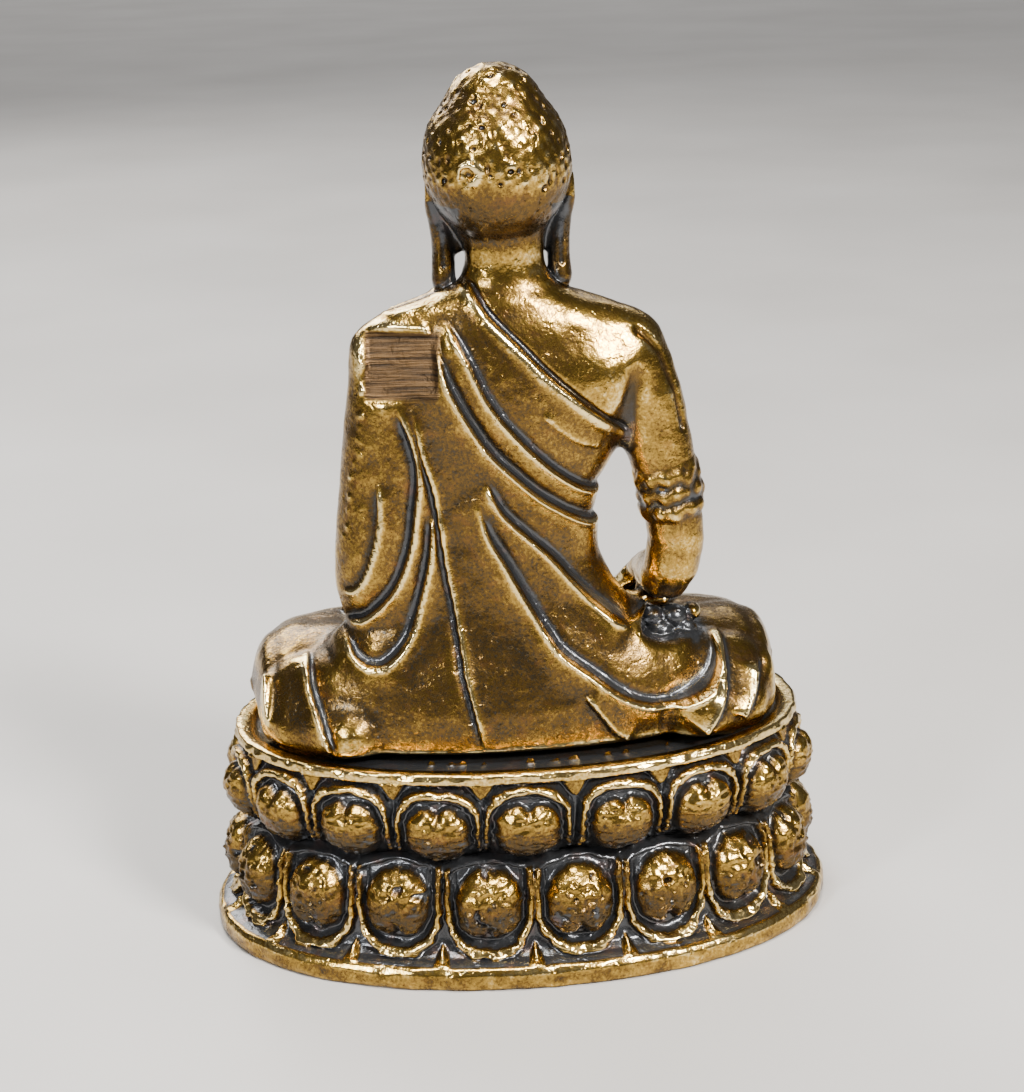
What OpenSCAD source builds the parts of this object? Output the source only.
// Seated Buddha statue on a double lotus throne, in millimetres.
// The figure faces -Y, its right hand is on the -X side, and z = 0 is the table.

/* [Throne] */
// Half width of the foot rim
foot_a = 17.7; // [16:0.1:20]
// Half depth of the foot rim
foot_b = 11.7; // [11:0.1:13]
// Height of the joint between the two lotus tiers
waist_z = 6.4; // [5.8:0.1:7]
// Height of the deck that the figure sits on
deck_z = 11.5; // [11.2:0.1:11.6]
// Height of the rim round the deck
rim_z = 11.8; // [11.7:0.1:12]
// Number of petals in each row
petals = 18; // [12:2:24]
// How far a petal's boss stands out of its tier
boss_out = 1.1; // [0.6:0.1:1.4]

/* [Figure] */
// Height of the top of the head
top_z = 48; // [47:0.5:49]
// Half width across the knees
knee_x = 14.8; // [13.5:0.1:15]
// Height where the neck meets the torso
neck_z = 36.4; // [36:0.1:36.8]
// Radius of the neck
neck_r = 2.15; // [1.9:0.05:2.4]
// Half width of the head
head_r = 3.85; // [3.5:0.05:4.1]
// Radius of the bare right arm under the armlet
arm_r = 1.55; // [1.4:0.05:1.7]
// Lean of the right upper arm, in degrees
arm_lean = 8; // [5:1:12]

/* [Joinery] */
// Thickness of the plate that closes the underside
plate_t = 0.8; // [0.6:0.1:1.2]
// Radius of the pins that hold the figure to the deck
seat_pin_r = 1.0; // [0.8:0.1:1.2]
// Radius of the pin in the neck
neck_pin_r = 0.8; // [0.6:0.1:1]
// Radius of the pins in the shoulders
shoulder_pin_r = 0.6; // [0.5:0.1:0.7]
// Clearance of the spigot between the lotus tiers
spigot_gap = 0.05; // [0.03:0.01:0.1]

/* [Hidden] */

brass = [0.72, 0.52, 0.22];
dark_brass = [0.42, 0.31, 0.15];

oval_power = 2.12;                  // squareness of the throne's plan, 2 is an ellipse
petal_steps = 8;                    // ring points to a petal
ring_n = petals * petal_steps;
table_n = 180;                      // steps in the arc-length table

// Places where the figure's castings meet.
lap_front_y = -0.8;                 // front of the torso block in the lap
lap_left_x = 10.8;                  // torso block's edge by the left knee
lap_right_x = -9.6;                 // torso block's edge by the right knee
lap_clear_z = 18;                   // the torso is clear of the legs above this
left_shoulder_x = 6.0;
right_shoulder_x = -6.4;
shoulder_y = 2.3;
shoulder_z = 31.6;
seat_pin_x = 6;
seat_pin_y = 2.5;
seat_pin_top = 15;
deck_t = 1.5;                       // thickness of the deck
peen_r = 1.7;                       // riveted end of a seat pin
peen_t = 0.5;
armlet_h = 3.9;
armlet_r = 1.9;
armlet_at = [-8.5, 2.6, 24.6];      // middle of the armlet, on the upper arm's axis
arm_reach = armlet_h / 2 + 1;       // half length of the arm's round seat for the armlet

// ---------- Throne ----------

function signed_pow(v, p) = sign(v) * pow(abs(v), p);
function oval(t) = [foot_a * signed_pow(cos(t), 2 / oval_power),
                    foot_b * signed_pow(sin(t), 2 / oval_power)];
function table_t(i) = -90 + 360 * i / table_n;
arc_table = [for (i = 0, run = 0; i <= table_n;
                  run = run + norm(oval(table_t(i + 1)) - oval(table_t(i))), i = i + 1)
                 [run, table_t(i)]];
arc_length = arc_table[table_n][0];
// The outline's angle at a share of the way round, from the front, by equal lengths.
function even_t(share) = lookup(arc_length * (share - floor(share)), arc_table);
function oval_normal(t) = let (d = oval(t + 0.5) - oval(t - 0.5)) [d[1], -d[0]] / norm(d);

// A ring of the throne at a height, set in from the foot's outline and raised at each petal.
function throne_ring(z, inset, raise = 0, phase = 0) =
    [for (i = [0 : ring_n - 1])
        let (t = even_t(i / ring_n),
             across = 2 * abs((i / petal_steps + phase + 0.5) % 1 - 0.5),
             lift = raise * sqrt(max(0, 1 - pow(across / 0.8, 2))),
             p = oval(t) - (inset - lift) * oval_normal(t))
        [p[0], p[1], z]];

// Joins rings of equal counts, from the lowest up or along +X, and closes both ends.
module loft(rings) {
    n = len(rings[0]);
    last = len(rings) - 1;
    side = [for (k = [0 : last - 1], i = [0 : n - 1])
               let (j = (i + 1) % n, a = k * n + i, b = k * n + j, c = b + n, d = a + n)
               each [[a, d, c], [a, c, b]]];
    bottom = [[for (i = [0 : n - 1]) i]];
    top = [[for (i = [n - 1 : -1 : 0]) last * n + i]];
    polyhedron([for (r = rings) each r], concat(bottom, side, top), convexity = 6);
}

module oval_slab(z, thickness, inset) {
    translate([0, 0, z]) linear_extrude(thickness)
        polygon([for (p = throne_ring(0, inset)) [p[0], p[1]]]);
}

module base_plate() {
    color(dark_brass) oval_slab(0, plate_t, 1.5 + spigot_gap);
}

module lower_lotus() {
    color(brass) difference() {
        loft([throne_ring(0, 0.15), throne_ring(0.3, 0), throne_ring(1.1, 0.1),
              throne_ring(1.5, 1.1), throne_ring(2.1, 1.9, 0.5 * boss_out, 0.5),
              throne_ring(3.1, 1.9, 0.9 * boss_out, 0.5),
              throne_ring(4.2, 2, boss_out, 0.5),
              throne_ring(5.2, 2.1, 0.9 * boss_out, 0.5),
              throne_ring(5.9, 2.5, 0.5 * boss_out, 0.5), throne_ring(waist_z, 3)]);
        oval_slab(-1, plate_t + 1, 1.5);
        oval_slab(-1, waist_z + 2, 4.4);
    }
}

module upper_lotus() {
    color(brass) difference() {
        loft([throne_ring(waist_z - 1.2, 4.4 + spigot_gap),
              throne_ring(waist_z, 4.4 + spigot_gap),
              throne_ring(waist_z, 3), throne_ring(waist_z + 0.6, 2.8, 0.3),
              throne_ring(waist_z + 1.3, 2.3, 0.7 * boss_out),
              throne_ring(waist_z + 2.3, 1.9, 0.6 * boss_out),
              throne_ring(waist_z + 3.3, 1.7, 0.5 * boss_out),
              throne_ring(waist_z + 4.1, 1.9, 0.1), throne_ring(rim_z - 0.3, 1.8),
              throne_ring(rim_z, 2.1), throne_ring(rim_z, 2.5),
              throne_ring(deck_z, 2.7)]);
        oval_slab(waist_z - 2, deck_z - deck_t - waist_z + 2, 5.6);
        for (side = [-1, 1])
            translate([side * seat_pin_x, seat_pin_y, 0])
                cylinder(h = deck_z + 1, r = seat_pin_r, $fn = 48);
    }
}

module seat_pins() {
    color(dark_brass) for (side = [-1, 1])
        translate([side * seat_pin_x, seat_pin_y, 0]) {
            translate([0, 0, deck_z - deck_t])
                cylinder(h = seat_pin_top - deck_z + deck_t, r = seat_pin_r, $fn = 48);
            translate([0, 0, deck_z - deck_t - peen_t])
                cylinder(h = peen_t, r = peen_r, $fn = 48);
        }
}

// ---------- Figure ----------

// A level oval ring about a centre.
function level_ring(c, a, b, n = 40, power = 2.2) =
    [for (i = [0 : n - 1]) let (t = 360 * i / n)
        [c[0] + a * signed_pow(cos(t), 2 / power), c[1] + b * signed_pow(sin(t), 2 / power), c[2]]];
// An upright oval ring across X about a centre, for lofts that run along X.
function cross_ring(x, y, z, half_y, half_z, n = 36, power = 2.4) =
    [for (i = [0 : n - 1]) let (t = 360 * i / n)
        [x, y + half_y * signed_pow(cos(t), 2 / power), z + half_z * signed_pow(sin(t), 2 / power)]];

module ball(p, r) {
    translate(p) sphere(r = r, $fn = 24);
}

module limb(a, ra, b, rb) {
    hull() {
        ball(a, ra);
        ball(b, rb);
    }
}

// The block of the lap that belongs to the torso casting.
module lap_block() {
    translate([lap_right_x, lap_front_y, deck_z - 5])
        cube([lap_left_x - lap_right_x, 20, lap_clear_z - deck_z + 5]);
}

// The space that the throne's rim takes up.
module beyond_rim() {
    difference() {
        translate([-20, -20, deck_z - 1]) cube([40, 40, rim_z - deck_z + 1]);
        oval_slab(deck_z - 2, 4, 2.75);
    }
}

module seat_pin_bores() {
    for (side = [-1, 1])
        translate([side * seat_pin_x, seat_pin_y, deck_z - 1])
            cylinder(h = seat_pin_top - deck_z + 1, r = seat_pin_r, $fn = 48);
}

module crossed_legs() {
    color(brass) difference() {
        union() {
            loft([cross_ring(-knee_x, -1.4, 13.4, 1.6, 1),
                  cross_ring(-14.4, -1.4, 13.4, 3.4, 1.9), cross_ring(-13.3, -1.3, 13.4, 4.9, 2.6),
                  cross_ring(-11.5, -1.2, 13.4, 5.8, 3.1), cross_ring(-9, -1.4, 13.2, 6.3, 3.3),
                  cross_ring(-6, -2.2, 13, 5.8, 3.3), cross_ring(-3, -3.5, 12.8, 4.4, 3),
                  cross_ring(0, -3.8, 12.7, 3.9, 2.8),
                  cross_ring(3, -3.5, 12.8, 4.4, 3), cross_ring(6, -2.2, 13, 5.8, 3.5),
                  cross_ring(9, -1.4, 13.3, 6.3, 3.7), cross_ring(11.5, -1.2, 13.5, 5.8, 3.3),
                  cross_ring(13.3, -1.3, 13.5, 4.9, 2.7),
                  cross_ring(14.4, -1.4, 13.4, 3.4, 2),
                  cross_ring(knee_x, -1.4, 13.4, 1.6, 1)]);
            for (side = [-1, 1]) foot(side);
        }
        lap_block();
        translate([-20, -20, deck_z - 10]) cube([40, 40, 10]);
        right_hand_shape();
        fan_shape();
        beyond_rim();
    }
}

// An upturned foot on the opposite thigh; side is 1 for the foot that lies on the left thigh.
module foot(side) {
    hull() {
        ball([side * 3.2, -3.2, 15.2], 1);
        ball([side * 6.5, -3, 16.4], 1);
        ball([side * 9, -2, 16.4], 0.85);
    }
}

// The pleated hem of the robe, spread on the deck in front of the ankles.
module fan_shape() {
    pleats = 9;
    steps = 6;
    count = pleats * steps;
    translate([0, -6.6, deck_z]) linear_extrude(1)
        polygon(concat([for (i = [0 : count])
            let (a = 195 + 150 * i / count, r = 1 + 0.07 * abs(sin(180 * i / steps)))
            [4.4 * r * cos(a), 2.1 * r * sin(a)]], [[3.8, 0.6], [-3.8, 0.6]]));
}

module robe_fan() {
    color(brass) fan_shape();
}

module robed_torso() {
    color(brass) difference() {
        loft([level_ring([0.6, 2.6, deck_z], 11.4, 4.6), level_ring([0.6, 2.6, 13], 11.5, 4.7),
              level_ring([0.7, 2.5, 15.4], 11.4, 4.4), level_ring([0.8, 2.3, 17.2], 10, 4),
              level_ring([1.4, 2.2, 19], 7.4, 3.7), level_ring([1.9, 2.1, 21], 6.7, 3.5),
              level_ring([2.2, 2, 23.2], 6.5, 3.3), level_ring([1.9, 2, 25.4], 6.4, 3.3),
              level_ring([1.1, 2, 28], 7, 3.4), level_ring([0.4, 2.1, 31], 7.9, 3.3),
              level_ring([0.2, 2.2, 33.2], 8, 3), level_ring([0.2, 2.2, 34.6], 7.5, 2.7),
              level_ring([0.2, 2.1, 35.4], 6, 2.5), level_ring([0.2, 2, 36], 4.3, 2.5),
              level_ring([0, 2, neck_z], 3.1, 2.6)]);
        difference() {
            translate([-20, -20, deck_z - 5]) cube([40, 40, lap_clear_z - deck_z + 5]);
            lap_block();
        }
        translate([left_shoulder_x, -10, lap_clear_z]) cube([20, 20, 30]);
        translate([right_shoulder_x - 20, -10, lap_clear_z]) cube([20, 20, 30]);
        seat_pin_bores();
        translate([0, 1.8, neck_z - 3]) cylinder(h = 4, r = neck_pin_r, $fn = 48);
        shoulder_pin_shapes();
    }
}

module shoulder_pin_shapes() {
    for (x = [left_shoulder_x, right_shoulder_x])
        translate([x - 1.2, shoulder_y, shoulder_z])
            rotate([0, 90, 0]) cylinder(h = 2.4, r = shoulder_pin_r, $fn = 48);
}

module shoulder_pins() {
    color(dark_brass) shoulder_pin_shapes();
}

module neck_pin() {
    color(dark_brass) translate([0, 1.8, neck_z - 3]) cylinder(h = 6, r = neck_pin_r, $fn = 48);
}

// The robe-covered left arm, from the shoulder to the wrist in the lap.
module left_arm() {
    color(brass) difference() {
        union() {
            loft([level_ring([5.7, 1.9, 17.9], 3, 2.1), level_ring([5.7, 1.9, 18.8], 3.7, 2.6),
                  level_ring([5.7, 2, 20.2], 4.1, 2.9), level_ring([5.7, 2.2, 22], 4, 2.9),
                  level_ring([5.7, 2.2, 25.6], 3.6, 2.8), level_ring([5.7, 2.2, 29], 3.2, 2.7),
                  level_ring([5.7, 2.2, 32], 2.8, 2.5), level_ring([5.7, 2.2, 34.2], 2.2, 2.1),
                  level_ring([5.7, 2.2, 35.1], 1, 1)]);
            limb([7.4, 0.8, 19.9], 1.7, [3.2, -4.5, 18.3], 1.05);
        }
        translate([left_shoulder_x - 20, -0.9, deck_z]) cube([20, 15, 40]);
        translate([-10, -12, deck_z]) cube([30, 30, lap_clear_z - deck_z]);
        translate([-16.4, -8, deck_z]) cube([20, 8, 30]);
        torso_front();
        shoulder_pin_shapes();
    }
}

// The part of the torso's front that the left forearm passes.
module torso_front() {
    translate([-10, -1.6, lap_clear_z - 1]) cube([left_shoulder_x + 10, 4, 5]);
}

// The left hand, palm up in the lap.
module left_hand() {
    color(brass) difference() {
        hull() {
            ball([3.4, -4.6, 18.3], 0.85);
            ball([0.5, -5.2, 17], 0.9);
            ball([0.5, -3.4, 17], 0.9);
            ball([-2.6, -4.4, 16.9], 0.6);
        }
        translate([3.6, -8, deck_z]) cube([5, 8, 12]);
        translate([-10, -12, deck_z]) cube([30, 30, 4.9]);
    }
}

// The bare right arm, from the shoulder to the wrist, with a round seat for the armlet.
module right_arm() {
    color(brass) difference() {
        union() {
            limb([-6.5, 2.3, 32.5], 2.15, [-7.5, 2.5, 28.8], 1.85);
            limb([-7.5, 2.5, 28.8], 1.85, on_arm(arm_reach), arm_r);
            at_armlet() translate([0, 0, -arm_reach]) cylinder(h = 2 * arm_reach, r = arm_r, $fn = 64);
            limb(on_arm(-arm_reach), arm_r, [-8.8, 2.4, 19.8], 1.65);
            limb([-8.8, 2.4, 19.8], 1.65, [-8.3, -4.4, 18.2], 1.05);
        }
        translate([right_shoulder_x, -10, deck_z]) cube([20, 20, 40]);
        translate([-14, -15.4, deck_z]) cube([10, 11, 12]);
        shoulder_pin_shapes();
    }
}

module at_armlet() {
    translate(armlet_at) rotate([0, arm_lean, 0]) children();
}

// A point on the upper arm's axis, at a distance above the middle of the armlet.
function on_arm(up) = armlet_at + up * [sin(arm_lean), 0, cos(arm_lean)];

// Three rounded bands round the right arm, above the elbow.
module right_armlet() {
    band = armlet_h / 3;
    color(brass) at_armlet() rotate_extrude($fn = 64)
        polygon(concat([[arm_r, armlet_h / 2], [arm_r, -armlet_h / 2]],
                       [for (i = [0 : 2], j = [0 : 3])
                           [armlet_r - 0.15 * pow((j - 1.5) / 1.5, 2),
                            -armlet_h / 2 + band * (i + 0.06 + 0.88 * j / 3)]]));
}

// The right hand, laid over the shin with its fingers pointing down to the throne.
module right_hand_shape() {
    limb([-8.3, -4.4, 18.2], 1, [-8.3, -7.2, 16.4], 0.95);
    limb([-8.3, -7.2, 16.4], 0.95, [-7.9, -7.6, 12.1], 0.6);
}

module right_hand() {
    color(brass) difference() {
        right_hand_shape();
        translate([-14, -4.4, deck_z]) cube([10, 11, 12]);
        beyond_rim();
    }
}

module head_shape() {
    hull() {
        ball([0.1, 2.1, 42.4], head_r);
        ball([0.1, 1.2, 42.3], head_r - 0.1);
        ball([0.1, 1.6, 40.3], 2.8);
        ball([0.1, -0.9, 39.5], 1.6);
    }
    hull() {
        ball([0.1, 2.1, top_z - 2.3], 2.3);
        ball([0.1, 2.1, 44.6], 2.5);
    }
    translate([0, 2, neck_z]) cylinder(h = 1.8, r1 = 2.95, r2 = neck_r, $fn = 64);
    translate([0, 2, neck_z + 1.8]) cylinder(h = 2, r = neck_r, $fn = 64);
}

module head() {
    color(brass) difference() {
        head_shape();
        translate([0, 1.8, neck_z - 1]) cylinder(h = 4, r = neck_pin_r, $fn = 48);
    }
}

// A long-lobed ear against the head; side is 1 for the left ear and -1 for the right.
module ear(side) {
    color(brass) difference() {
        union() {
            limb([side * 3.4, 0.7, 42.6], 0.6, [side * 3.1, 0.8, 40], 0.62);
            limb([side * 3.1, 0.8, 40], 0.62, [side * 3, 1, 37], 0.5);
        }
        head_shape();
    }
}

base_plate();
lower_lotus();
upper_lotus();
seat_pins();
crossed_legs();
robe_fan();
robed_torso();
left_arm();
left_hand();
right_arm();
right_armlet();
right_hand();
shoulder_pins();
neck_pin();
head();
ear(1);  // left_ear
ear(-1);  // right_ear
